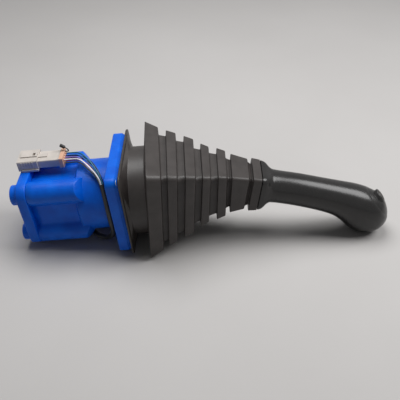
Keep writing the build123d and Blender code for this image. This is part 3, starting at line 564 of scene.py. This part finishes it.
def cast_outline(per_column=30, per_fillet=6, per_flat=6):
    """(y, z) points of a square core with four corner columns and fillets between."""
    rise = CORE_HALF + FILLET_R - COLUMN_AT
    shift = sqrt((COLUMN_R + FILLET_R) ** 2 - rise ** 2)
    toe = COLUMN_AT - shift
    quarter = []
    for i in range(per_flat):
        quarter.append(Vector((CORE_HALF, toe * (2 * i / per_flat - 1))))
    centre = Vector((CORE_HALF + FILLET_R, toe))
    column = Vector((COLUMN_AT, COLUMN_AT))
    aim = (column - centre).normalized()
    for i in range(per_fillet):
        t = i / per_fillet
        angle = pi - t * (pi - atan2(aim.y, aim.x))
        quarter.append(centre + Vector((cos(angle), sin(angle))) * FILLET_R)
    start = atan2(-aim.y, -aim.x)
    end = pi / 2 - start
    for i in range(per_column):
        angle = start + (end - start) * i / per_column
        quarter.append(column + Vector((cos(angle), sin(angle))) * COLUMN_R)
    centre = Vector((toe, CORE_HALF + FILLET_R))
    for i in range(per_fillet):
        t = i / per_fillet
        low = atan2(column.y - centre.y, column.x - centre.x)
        angle = low - t * (low + pi / 2)
        quarter.append(centre + Vector((cos(angle), sin(angle))) * FILLET_R)
    around = []
    for turn_count in range(4):
        c, s = ((1, 0), (0, 1), (-1, 0), (0, -1))[turn_count]
        around += [Vector((c * p.x - s * p.y, s * p.x + c * p.y)) for p in quarter]
    return around


outline = cast_outline()

# %% The outline along the axis
COLUMN_REACH, SLOPE_DROP = 50.0, 12.0


def body_radius(x, own):
    """Radius of a point of the outline at x: its own on the columns, the neck's on the neck."""
    slope = COLUMN_REACH - SLOPE_DROP * ramp(x, NECK_START, NECK_START + SHOULDER) ** 1.2
    if own > NECK_R:
        return max(min(own, slope), NECK_R)
    t = ramp(x, NECK_START - 3.2, NECK_START + 1.2)
    return own + (NECK_R - own) * t * t * (3 - 2 * t)


stations = ([BODY_END, BODY_END + 0.6, -80, -70, -60, -50, -43] + [-41 + 0.4 * i for i in range(36)]
            + [-24, -16, -8, -1.2, -0.3, 0])
body_rings = []
for x in stations:
    inset = 0.6 if x in (BODY_END, 0) else 0.0
    body_rings.append([Vector((x, *(p.normalized() * (body_radius(x, p.length) - inset))))
                       for p in outline])
body = skin("cast_body", body_rings, degrees=60)
print("body rings:", len(body_rings), "points round:", len(outline))

# %% [markdown]
# The flange is part of the casting too: a square plate with round corners, a raised and
# drafted seat for the boot, and four bolt holes. Its holes are cut with a Boolean, which
# suits holes that cross a plate squarely.

# %% Round bars and Booleans
def rod(name, x0, x1, r, y, z, sides=40):
    """A plain round bar along the axis."""
    return skin(name, [[Vector((x, y + r * cos(2 * pi * i / sides), z + r * sin(2 * pi * i / sides)))
                        for i in range(sides)] for x in (x0, x1)])


def combine(piece, tools, operation):
    """Adds closed tool pieces to a piece, or takes them away, and removes the tools."""
    for tool in tools:
        change = piece.modifiers.new(operation.lower(), "BOOLEAN")
        change.operation, change.solver, change.object = operation, "EXACT", tool
        mesh = bpy.data.meshes.new_from_object(piece.evaluated_get(bpy.context.evaluated_depsgraph_get()))
        piece.modifiers.remove(change)
        piece.data = mesh
        bpy.data.objects.remove(tool)
    crisp(piece.data)


# %% Flange
FLANGE_HALF, FLANGE_THICK, FLANGE_CORNER = 49.0, 10.0, 8.0
BOLT_AT, BOLT_R, BOLT_DEPTH = 41.0, 3.5, 12.8
flange_line = rounded_line([(0.0, 40.0, FLANGE_CORNER), (0.0, FLANGE_HALF, FLANGE_CORNER),
                            (FLANGE_THICK, FLANGE_HALF, FLANGE_CORNER),
                            (FLANGE_THICK + 0.6, FLANGE_HALF - 0.6, FLANGE_CORNER),
                            (LIP_FOOT, FLANGE_HALF - 1.6, FLANGE_CORNER),
                            (LIP_FOOT, 43.0, FLANGE_CORNER)], 0.9)
flange = skin("cast_flange", [[Vector((p.x, y, z)) for y, z in rounded_rectangle(p.y, p.y, p.z)]
                              for p in flange_line])
combine(flange, [rod("drill", -1, BOLT_DEPTH, BOLT_R, sy * BOLT_AT, sz * BOLT_AT)
                 for sy in (-1, 1) for sz in (-1, 1)], "DIFFERENCE")
print("flange faces:", len(flange.data.polygons))

# %% [markdown]
# The port plate closes the far end. It carries four round bosses for the service ports and
# two supply ports between them. The bosses are joined to the plate, then the ports and the
# seats of the four socket screws are taken out.

# %% Port plate
PLATE_HALF, PORT_FACE, PORT_R = 39.0, -99.0, 5.72
PLATE_CORNER, PORT_DEPTH, PORT_FLOOR = 14.0, 12.0, 2.0
BOSS_BORE, BOSS_FOOT = 7.2, 1.6
SEAT_R, SEAT_DEPTH, SHANK_R = 5.2, 6.0, 3.05
BOSSES = ((-25.5, 25.5, 11.0, 7.0), (25.5, 25.5, 11.0, 7.0),
          (-25.5, -25.5, 9.5, 8.0), (25.5, -25.5, 9.5, 8.0))
SUPPLY_PORTS = ((0.0, 12.0), (0.0, -12.0))
SCREW_SEATS = ((25.5, 0.0), (-25.5, 0.0), (0.0, 25.5), (0.0, -25.5))


def along_x(name, line, y=0.0, z=0.0, square=None, sides=48):
    """A closed solid along the axis from (x, half or radius) points, square or round."""
    rings = []
    for point in line:
        if square is None:
            ring = [(y + point.y * cos(2 * pi * i / sides), z + point.y * sin(2 * pi * i / sides))
                    for i in range(sides)]
        else:
            ring = rounded_rectangle(point.y, point.y, square)
        rings.append([Vector((point.x, a, b)) for a, b in ring])
    return skin(name, rings)


# %% Plate, bosses and ports
plate_line = rounded_line([(PORT_FACE, 20, 0), (PORT_FACE, PLATE_HALF, 0), (BODY_END, PLATE_HALF, 0),
                           (BODY_END, 20, 0)], 1.6)
plate = along_x("cast_plate", plate_line, square=PLATE_CORNER)
bosses = []
for y, z, r, height in BOSSES:
    line = rounded_line([(PORT_FACE - height, BOSS_BORE, 0), (PORT_FACE - height, r, 0),
                         (PORT_FACE - 0.4, r, 0), (PORT_FACE + 0.6, r + BOSS_FOOT, 0),
                         (PORT_FACE + 3.0, r + BOSS_FOOT, 0), (PORT_FACE + 3.0, BOSS_BORE, 0)], 1.3)
    bosses.append(along_x("boss", line, y, z))
combine(plate, bosses, "UNION")
ports = [rod("port", PORT_FACE - height - 1, PORT_FACE - height + PORT_DEPTH, PORT_R, y, z)
         for y, z, _, height in BOSSES]
ports += [rod("port", PORT_FACE - 1, BODY_END - PORT_FLOOR, PORT_R, y, z) for y, z in SUPPLY_PORTS]
seats = [rod("seat", PORT_FACE - 1, PORT_FACE + SEAT_DEPTH, SEAT_R, y, z) for y, z in SCREW_SEATS]
seats += [rod("shank", PORT_FACE - 1, BODY_END + 1, SHANK_R, y, z) for y, z in SCREW_SEATS]
combine(plate, ports + seats, "DIFFERENCE")
print("plate faces:", len(plate.data.polygons))

# %% [markdown]
# Threads, wire seals and finger ribs are small shapes that repeat, so one node tree makes
# each kind. The first tree stands a short row of rings on every point it is given: at the
# ports the rings are the thread, and behind the plug they are the lips of the wire seals.

# %% Node tree: a row of rings on every point
def add_input(tree, name, kind, value):
    socket = tree.interface.new_socket(name, in_out="INPUT", socket_type=kind)
    if value is not None:
        socket.default_value = value
    return socket.identifier


def rings_tree():
    tree = bpy.data.node_groups.new("rings_in_rows", "GeometryNodeTree")
    add_input(tree, "Geometry", "NodeSocketGeometry", None)
    keys = {"count": add_input(tree, "Count", "NodeSocketInt", 3),
            "pitch": add_input(tree, "Pitch", "NodeSocketFloat", 0.0014),
            "radius": add_input(tree, "Ring radius", "NodeSocketFloat", 0.005),
            "wire": add_input(tree, "Bead radius", "NodeSocketFloat", 0.0004),
            "material": add_input(tree, "Material", "NodeSocketMaterial", None)}
    tree.interface.new_socket("Geometry", in_out="OUTPUT", socket_type="NodeSocketGeometry")
    new, links = tree.nodes.new, tree.links.new
    given, out = new("NodeGroupInput"), new("NodeGroupOutput")
    ring, bead = new("GeometryNodeCurvePrimitiveCircle"), new("GeometryNodeCurvePrimitiveCircle")
    ring.inputs["Resolution"].default_value, bead.inputs["Resolution"].default_value = 32, 6
    links(given.outputs["Ring radius"], ring.inputs["Radius"])
    links(given.outputs["Bead radius"], bead.inputs["Radius"])
    sweep, turn = new("GeometryNodeCurveToMesh"), new("GeometryNodeTransform")
    links(ring.outputs["Curve"], sweep.inputs["Curve"])
    links(bead.outputs["Curve"], sweep.inputs["Profile Curve"])
    links(sweep.outputs["Mesh"], turn.inputs["Geometry"])
    turn.inputs["Rotation"].default_value = (0, pi / 2, 0)
    step, row = new("ShaderNodeCombineXYZ"), new("GeometryNodeMeshLine")
    stand = new("GeometryNodeInstanceOnPoints")
    links(given.outputs["Pitch"], step.inputs["X"])
    links(given.outputs["Count"], row.inputs["Count"])
    links(step.outputs["Vector"], row.inputs["Offset"])
    links(row.outputs["Mesh"], stand.inputs["Points"])
    links(turn.outputs["Geometry"], stand.inputs["Instance"])
    each, real, paint_it = (new("GeometryNodeInstanceOnPoints"), new("GeometryNodeRealizeInstances"),
                            new("GeometryNodeSetMaterial"))
    links(given.outputs["Geometry"], each.inputs["Points"])
    links(stand.outputs["Instances"], each.inputs["Instance"])
    links(each.outputs["Instances"], real.inputs["Geometry"])
    links(real.outputs["Geometry"], paint_it.inputs["Geometry"])
    links(given.outputs["Material"], paint_it.inputs["Material"])
    links(paint_it.outputs["Geometry"], out.inputs["Geometry"])
    return tree, keys

# %% Bake a node tree into a plain mesh
def grown(name, points, tree, keys, **values):
    """Bakes a node tree over points in millimetres into a plain mesh piece."""
    seeds = bpy.data.meshes.new(name)
    seeds.from_pydata([tuple(Vector(p) * MM) for p in points], [], [])
    piece = link(name, seeds)
    grow = piece.modifiers.new("grow", "NODES")
    grow.node_group = tree
    for key, value in values.items():
        grow[keys[key]] = value
    mesh = bpy.data.meshes.new_from_object(piece.evaluated_get(bpy.context.evaluated_depsgraph_get()))
    piece.modifiers.remove(grow)
    piece.data = mesh
    return piece


# %% Node tree: a row of ribs from a start point
def ribs_tree():
    tree = bpy.data.node_groups.new("finger_ribs", "GeometryNodeTree")
    add_input(tree, "Geometry", "NodeSocketGeometry", None)
    keys = {"count": add_input(tree, "Count", "NodeSocketInt", 5),
            "pitch": add_input(tree, "Pitch", "NodeSocketFloat", 0.002),
            "size": add_input(tree, "Rib size", "NodeSocketVector", None),
            "material": add_input(tree, "Material", "NodeSocketMaterial", None)}
    tree.interface.new_socket("Geometry", in_out="OUTPUT", socket_type="NodeSocketGeometry")
    new, links = tree.nodes.new, tree.links.new
    given, out = new("NodeGroupInput"), new("NodeGroupOutput")
    rib, step, row = new("GeometryNodeMeshCube"), new("ShaderNodeCombineXYZ"), new("GeometryNodeMeshLine")
    links(given.outputs["Rib size"], rib.inputs["Size"])
    links(given.outputs["Pitch"], step.inputs["X"])
    links(given.outputs["Count"], row.inputs["Count"])
    links(step.outputs["Vector"], row.inputs["Offset"])
    stand, each, real, paint_it = (new("GeometryNodeInstanceOnPoints"), new("GeometryNodeInstanceOnPoints"),
                                   new("GeometryNodeRealizeInstances"), new("GeometryNodeSetMaterial"))
    links(row.outputs["Mesh"], stand.inputs["Points"])
    links(rib.outputs["Mesh"], stand.inputs["Instance"])
    links(given.outputs["Geometry"], each.inputs["Points"])
    links(stand.outputs["Instances"], each.inputs["Instance"])
    links(each.outputs["Instances"], real.inputs["Geometry"])
    links(real.outputs["Geometry"], paint_it.inputs["Geometry"])
    links(given.outputs["Material"], paint_it.inputs["Material"])
    links(paint_it.outputs["Geometry"], out.inputs["Geometry"])
    return tree, keys


rings_in_rows, ring_keys = rings_tree()
finger_ribs, rib_keys = ribs_tree()
print("node trees:", rings_in_rows.name, finger_ribs.name)

# %% Ride and stand-ins
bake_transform(boot_lower)
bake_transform(boot_upper)
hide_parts("boot")
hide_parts("boot")
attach(grip, "lever")
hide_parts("grip")
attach(thumb_pad, "lever")
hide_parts("grip_cap")
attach(button_collar, "lever")
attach(button, "button")
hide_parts("push_button")
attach(flange, "base")
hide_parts("mounting_flange")
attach(body, "base")
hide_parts("valve_body")
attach(plate, "base")
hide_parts("port_plate")
CAP_R, CAP_LENGTH, CAP_OVERLAP = 1.9, 5.4, 0.6
cap_axis = (Vector(SPARE_ROUTE[-1]) - Vector(SPARE_ROUTE[-2])).normalized()
cap_line = rounded_line([(-CAP_OVERLAP, 0.5, 0), (-CAP_OVERLAP, CAP_R, 0), (CAP_LENGTH, CAP_R, 0),
                         (CAP_LENGTH, 0.4, 0)], 0.9)
cap = turned_on("spare_wire_cap", Vector(SPARE_ROUTE[-1]), cap_axis, SIDEWAYS,
                [(p.x, p.y) for p in cap_line], turns=24)
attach(cap, "base")
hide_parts("spare_cap")

# %% [markdown]
# ## Finishes
# Each finish is a small node tree on Object coordinates: noise varies the colour and the
# roughness a little, and finer noise gives the grain its bump.

# %% Finish helper
def finish(name, low, high, rough, grain_mm, bump, metallic=0.0, specular=0.5, patch_mm=14.0):
    """A material whose colour runs from low to high and whose roughness runs over rough."""
    material = bpy.data.materials.new(name)
    material.use_nodes = True
    nodes, links = material.node_tree.nodes, material.node_tree.links
    shader = nodes["Principled BSDF"]
    shader.inputs["Metallic"].default_value = metallic
    shader.inputs["Specular IOR Level"].default_value = specular
    place = nodes.new("ShaderNodeTexCoord")
    patches = nodes.new("ShaderNodeTexNoise")
    patches.inputs["Scale"].default_value = 1000 / patch_mm
    patches.inputs["Detail"].default_value = 5
    grain = nodes.new("ShaderNodeTexNoise")
    grain.inputs["Scale"].default_value = 1000 / grain_mm
    grain.inputs["Detail"].default_value = 4
    for texture in (patches, grain):
        links.new(place.outputs["Object"], texture.inputs["Vector"])
    tint = nodes.new("ShaderNodeValToRGB")
    tint.color_ramp.elements[0].position, tint.color_ramp.elements[1].position = 0.35, 0.65
    tint.color_ramp.elements[0].color = (*low, 1)
    tint.color_ramp.elements[1].color = (*high, 1)
    links.new(patches.outputs["Fac"], tint.inputs["Fac"])
    links.new(tint.outputs["Color"], shader.inputs["Base Color"])
    gloss = nodes.new("ShaderNodeMapRange")
    gloss.inputs["From Min"].default_value, gloss.inputs["From Max"].default_value = 0.3, 0.7
    gloss.inputs["To Min"].default_value, gloss.inputs["To Max"].default_value = rough
    links.new(grain.outputs["Fac"], gloss.inputs["Value"])
    links.new(gloss.outputs["Result"], shader.inputs["Roughness"])
    relief = nodes.new("ShaderNodeBump")
    relief.inputs["Strength"].default_value = bump
    relief.inputs["Distance"].default_value = 0.25 * MM * grain_mm
    links.new(grain.outputs["Fac"], relief.inputs["Height"])
    links.new(relief.outputs["Normal"], shader.inputs["Normal"])
    return material


paint = finish("blue_enamel", (0.0, 0.095, 0.60), (0.0, 0.13, 0.72), (0.30, 0.42), 2.2, 0.35,
               specular=0.22)
rubber = finish("boot_rubber", (0.026, 0.0215, 0.020), (0.040, 0.034, 0.032), (0.36, 0.5), 0.5, 0.25)
plastic = finish("grip_plastic", (0.008, 0.0078, 0.0078), (0.012, 0.0112, 0.0112), (0.20, 0.30), 0.6, 0.14)
nylon = finish("connector_nylon", (0.50, 0.46, 0.42), (0.60, 0.55, 0.51), (0.35, 0.5), 0.8, 0.1)
sleeve_black = finish("sleeve_vinyl", (0.010, 0.010, 0.010), (0.018, 0.018, 0.018), (0.32, 0.45), 1.0, 0.2)
steel = finish("turned_steel", (0.42, 0.42, 0.43), (0.56, 0.56, 0.57), (0.24, 0.4), 0.8, 0.12, metallic=1)
brass = finish("brass", (0.50, 0.33, 0.11), (0.62, 0.43, 0.17), (0.25, 0.4), 0.8, 0.12, metallic=1)
zinc = finish("zinc_plating", (0.36, 0.37, 0.38), (0.46, 0.47, 0.48), (0.34, 0.5), 1.6, 0.15, metallic=1)
spring_wire = finish("spring_wire", (0.24, 0.24, 0.25), (0.34, 0.34, 0.35), (0.28, 0.4), 0.8, 0.1, metallic=1)
black_screw = finish("black_screw", (0.030, 0.030, 0.032), (0.045, 0.045, 0.048), (0.38, 0.5), 0.8, 0.12,
                     metallic=1)
seal = finish("seal_rubber", (0.018, 0.018, 0.018), (0.028, 0.028, 0.028), (0.4, 0.55), 0.6, 0.15)
orange_seal = finish("retainer_nylon", (0.62, 0.36, 0.24), (0.74, 0.46, 0.33), (0.4, 0.55), 0.8, 0.1)

# %% Threads, seals and ribs
THREAD_TURNS, THREAD_PITCH, THREAD_BEAD = 5, 1.4, 0.45
RIB_COUNT, RIB_PITCH, RIB_SIZE = 5, 3.0, (1.1, 0.9, 6.0)
thread_starts = [(PORT_FACE - h + 1.2, y, z) for y, z, _, h in BOSSES]
thread_starts += [(PORT_FACE + 1.0, y, z) for y, z in SUPPLY_PORTS]
port_threads = grown("port_threads", thread_starts, rings_in_rows, ring_keys, count=THREAD_TURNS,
                     pitch=THREAD_PITCH * MM, radius=PORT_R * MM, wire=THREAD_BEAD * MM, material=paint)
wire_seals = grown("wire_seals", [(PLUG_END + 0.1, y, z) for z in PLUG_ROWS for y in PLUG_COLUMNS],
                   rings_in_rows, ring_keys, count=2, pitch=0.8 * MM, radius=1.15 * MM, wire=0.42 * MM,
                   material=orange_seal)
socket_ribs = grown("socket_ribs", [(-95.0, -3.1, 47.6)], finger_ribs, rib_keys, count=RIB_COUNT,
                    pitch=RIB_PITCH * MM, size=tuple(mm(*RIB_SIZE)), material=nylon)
retainer = skin("seal_retainer", [[Vector((x, 8.75 + a, 45.4 + b)) for a, b in rounded_rectangle(h, w, 1.2)]
                                  for x, h, w in ((-54.5, 10.2, 5.4), (-54.0, 10.7, 5.9), (-50.4, 10.7, 5.9),
                                                  (-49.9, 10.2, 5.4))])
retainer.data.materials.append(orange_seal)
for piece, slot_name in ((port_threads, "blue_paint"), (wire_seals, "connector_ivory"),
                         (socket_ribs, "connector_white"), (retainer, "connector_ivory")):
    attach(piece, "base")
    print(piece.name, len(piece.data.polygons), "faces")

# %% [markdown]
# The sleeve and the wires are free cords, and the length of each line is computed below.
# The sleeve enters the flange at its grommet and is open at the other end, where
# the wires leave it and run to the plug.

# %% Free cords
line_length(sleeve)
for wire, route in zip(wires, wire_routes):
    line_length(wire)

# %% Which node has which finish
PART_FINISH = (("seal", seal), ("spring", spring_wire), ("bush", brass), ("screw", black_screw),
               ("boot_frame", zinc), ("retainer", zinc), ("nut", zinc), ("grommet", seal),
               ("cap", sleeve_black), ("switch", sleeve_black), ("connector", nylon))
replaced = {"boot", "grip", "grip_cap", "spare_cap", "push_button", "valve_body", "port_plate",
            "mounting_flange", "wire_sleeve", "spare_lead"} | {f"wire_{n}" for n in range(1, 9)}
for node in frame["nodes"]:
    piece = bpy.data.objects.get(node)
    if piece is None or node in replaced:
        continue
    match = [material for word, material in PART_FINISH if word in node]
    piece.data.materials.clear()
    piece.data.materials.append(match[0] if match else steel)
for piece, material in ((boot_lower, rubber), (boot_upper, rubber), (grip, plastic), (body, paint),
                        (flange, paint), (plate, paint), (thumb_pad, plastic), (button, rubber),
                        (button_collar, plastic), (cap, sleeve_black),
                        (sleeve, sleeve_black), (spare, sleeve_black)):
    piece.data.materials.append(material)
WIRE_TINTS = ((0.01, 0.13, 0.22), (0.02, 0.12, 0.34), (0.22, 0.16, 0.46), (0.75, 0.75, 0.78),
              (0.01, 0.02, 0.09), (0.08, 0.03, 0.02), (0.60, 0.02, 0.012), (0.08, 0.10, 0.07))
for number, (wire, tint) in enumerate(zip(wires, WIRE_TINTS), 1):
    wire.data.materials.append(finish(f"wire_vinyl_{number}", tint, [1.25 * c for c in tint],
                                      (0.3, 0.42), 1.2, 0.12))

# %% [markdown]
# ## Table and light
# The table is a large pale sheet under the flange and the head of the grip. One broad
# lamp hangs over the table, a second one stands high beyond the grip so that the sloping
# grip shows a soft highlight, and a weak world fills the shadows. What looks past the
# table, or mirrors what is past it, sees plain grey paper instead of the weak world.

# %% Table
def lowest_along(axis):
    low = 0.0
    depsgraph = bpy.context.evaluated_depsgraph_get()
    for piece in bpy.data.objects:
        if piece.type in {"MESH", "CURVE"} and not piece.hide_render:
            mesh = piece.evaluated_get(depsgraph).to_mesh()
            low = min([low] + [axis.dot(v.co) for v in mesh.vertices])
            piece.evaluated_get(depsgraph).to_mesh_clear()
    return low


table_height = lowest_along(TABLE_UP)
print("table at", round(table_height * 1000, 2), "mm")
table_mesh = bpy.data.meshes.new("table")
TABLE_REACH, TABLE_GAP = 3.0, 0.0001          # metres
corners = [resting.transposed() @ Vector((x * TABLE_REACH, y * TABLE_REACH, 0))
           + TABLE_UP * (table_height - TABLE_GAP) for x, y in ((-1, -1), (1, -1), (1, 1), (-1, 1))]
table_mesh.from_pydata([tuple(c) for c in corners], [], [(0, 1, 2, 3)])
table = link("table", table_mesh)
table.data.materials.append(finish("table_sheet", (0.50, 0.485, 0.475), (0.525, 0.51, 0.50), (0.8, 0.9),
                                   2.0, 0.02, patch_mm=300))

# %% Lamps
def lamp(name, place, aim, size, power):
    data = bpy.data.lights.new(name, "AREA")
    data.shape, data.size, data.energy = "DISK", size, power
    piece = bpy.data.objects.new(name, data)
    bpy.context.scene.collection.objects.link(piece)
    place, aim = from_table(place), from_table(aim)
    piece.matrix_world = (Matrix.Translation(place)
                          @ (aim - place).to_track_quat("-Z", "Y").to_matrix().to_4x4())
    return piece


lamp("overhead", place=(-120, 260, 1050), aim=(-20, 0, 0), size=0.8, power=10)
lamp("right_side", place=(900, 60, 1000), aim=(120, 0, 0), size=0.8, power=11)

# %% World
world = bpy.data.worlds.new("room")
bpy.context.scene.world = world
world.use_nodes = True
sky, sky_links = world.node_tree.nodes, world.node_tree.links
sky["Background"].inputs["Color"].default_value = (0.80, 0.82, 0.84, 1)
sky["Background"].inputs["Strength"].default_value = 0.10
paper, choose = sky.new("ShaderNodeBackground"), sky.new("ShaderNodeMixShader")
rays = sky.new("ShaderNodeLightPath")
paper.inputs["Color"].default_value = (0.52, 0.515, 0.51, 1)
either, any_ray = sky.new("ShaderNodeMath"), sky.new("ShaderNodeMath")
either.operation = any_ray.operation = "MAXIMUM"
sky_links.new(rays.outputs["Is Camera Ray"], either.inputs[0])
sky_links.new(rays.outputs["Is Transmission Ray"], either.inputs[1])
sky_links.new(either.outputs["Value"], any_ray.inputs[0])
sky_links.new(rays.outputs["Is Glossy Ray"], any_ray.inputs[1])
sky_links.new(any_ray.outputs["Value"], choose.inputs["Fac"])
sky_links.new(sky["Background"].outputs["Background"], choose.inputs[1])
sky_links.new(paper.outputs["Background"], choose.inputs[2])
sky_links.new(choose.outputs["Shader"], sky["World Output"].inputs["Surface"])
bpy.context.scene.view_settings.view_transform = "Standard"
